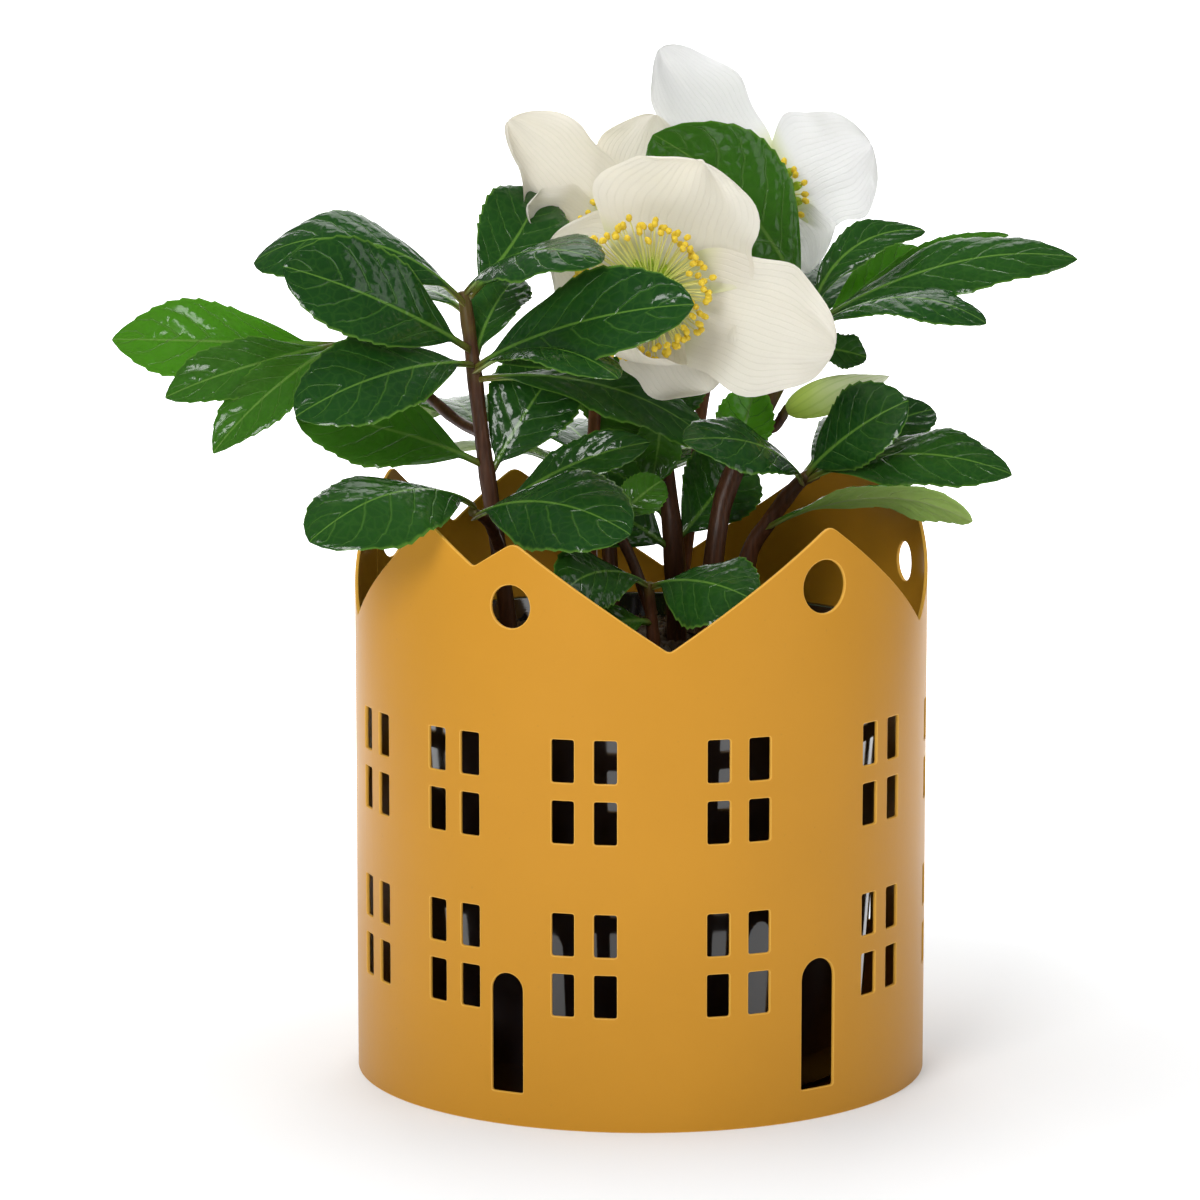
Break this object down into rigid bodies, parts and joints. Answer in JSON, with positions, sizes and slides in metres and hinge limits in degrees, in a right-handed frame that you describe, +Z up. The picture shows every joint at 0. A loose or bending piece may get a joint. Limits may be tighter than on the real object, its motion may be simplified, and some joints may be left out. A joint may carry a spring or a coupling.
{
  "type": "potted hellebore",
  "caption": "Flowering hellebore in a nursery pot, standing inside a round sheet-metal cover cut as a row of gabled houses with doors and paned windows.",
  "frame": {"origin": "on the axis of the round cover, at the surface it stands on", "axes": "+Z up along the cover's axis; the best side, with the open front bloom, faces -Y; +X to the right as seen from there"},
  "size_m": [0.2673, 0.1725, 0.2834],
  "materials": {
    "powder_coat": "satin ochre powder coat",
    "black_plastic": "glossy black moulded plastic",
    "peat": "moist dark peat",
    "leaf": "glossy leathery dark green",
    "tepal": "matt cream white petal",
    "stamen": "matt yellow anther",
    "nectary": "waxy yellow-green",
    "stalk": "smooth red-brown stem"
  },
  "bodies": {
    "root": {"cover": "powder_coat", "cover_base": "powder_coat", "nursery_pot": "black_plastic", "soil": "peat", "leafy_stem_left": "leaf", "leafy_stem_centre": "leaf", "leafy_stem_right": "leaf", "leafy_stem_low": "leaf", "leafy_stem_front": "leaf", "leafy_stem_back": "leaf", "bloom_front_tepals": "tepal", "bloom_front_heart": "nectary", "bloom_front_stamens": "stamen", "bloom_left_stalk": "stalk", "bloom_left_tepals": "tepal", "bloom_left_heart": "nectary", "bloom_left_stamens": "stamen", "bloom_back_stalk": "stalk", "bloom_back_tepals": "tepal", "bloom_back_heart": "nectary", "bloom_back_stamens": "stamen"}
  },
  "joints": []
}
